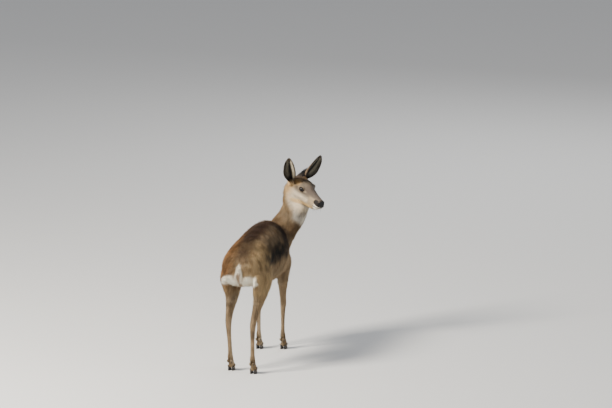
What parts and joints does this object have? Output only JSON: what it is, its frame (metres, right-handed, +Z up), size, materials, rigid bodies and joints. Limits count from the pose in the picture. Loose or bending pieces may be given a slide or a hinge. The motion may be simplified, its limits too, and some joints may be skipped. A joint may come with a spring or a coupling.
{
  "type": "roe deer",
  "caption": "Life-size roe deer doe in winter coat, standing on all fours with her head turned back over her right side.",
  "frame": {"origin": "on the floor under the middle of the whole box", "axes": "+Z up; +Y the way her body faces, from tail to breast; +X towards her right side, where her head is turned"},
  "size_m": [0.4086, 0.8022, 1.0382],
  "materials": {
    "coat_brown": "dense dull winter hair, grey-brown",
    "face_grey": "short dull hair, pale grey-buff",
    "rump_white": "long dull hair, off-white",
    "hoof_horn": "dark horn, slightly glossy",
    "eye_dark": "wet dark eye"
  },
  "bodies": {
    "root": {"head": "face_grey", "neck": "coat_brown", "trunk": "coat_brown", "tail": "rump_white", "ear_left": "face_grey", "ear_right": "face_grey", "eye_left": "eye_dark", "eye_right": "eye_dark", "foreleg_left": "coat_brown", "foreleg_right": "coat_brown", "hindleg_left_upper": "coat_brown", "hindleg_left_lower": "coat_brown", "hindleg_right_upper": "coat_brown", "hindleg_right_lower": "coat_brown", "hoof_fore_left_inner": "hoof_horn", "hoof_fore_left_outer": "hoof_horn", "hoof_fore_right_inner": "hoof_horn", "hoof_fore_right_outer": "hoof_horn", "hoof_hind_left_inner": "hoof_horn", "hoof_hind_left_outer": "hoof_horn", "hoof_hind_right_inner": "hoof_horn", "hoof_hind_right_outer": "hoof_horn", "dewclaw_fore_left_inner": "hoof_horn", "dewclaw_fore_left_outer": "hoof_horn", "dewclaw_fore_right_inner": "hoof_horn", "dewclaw_fore_right_outer": "hoof_horn", "dewclaw_hind_left_inner": "hoof_horn", "dewclaw_hind_left_outer": "hoof_horn", "dewclaw_hind_right_inner": "hoof_horn", "dewclaw_hind_right_outer": "hoof_horn"}
  },
  "joints": []
}
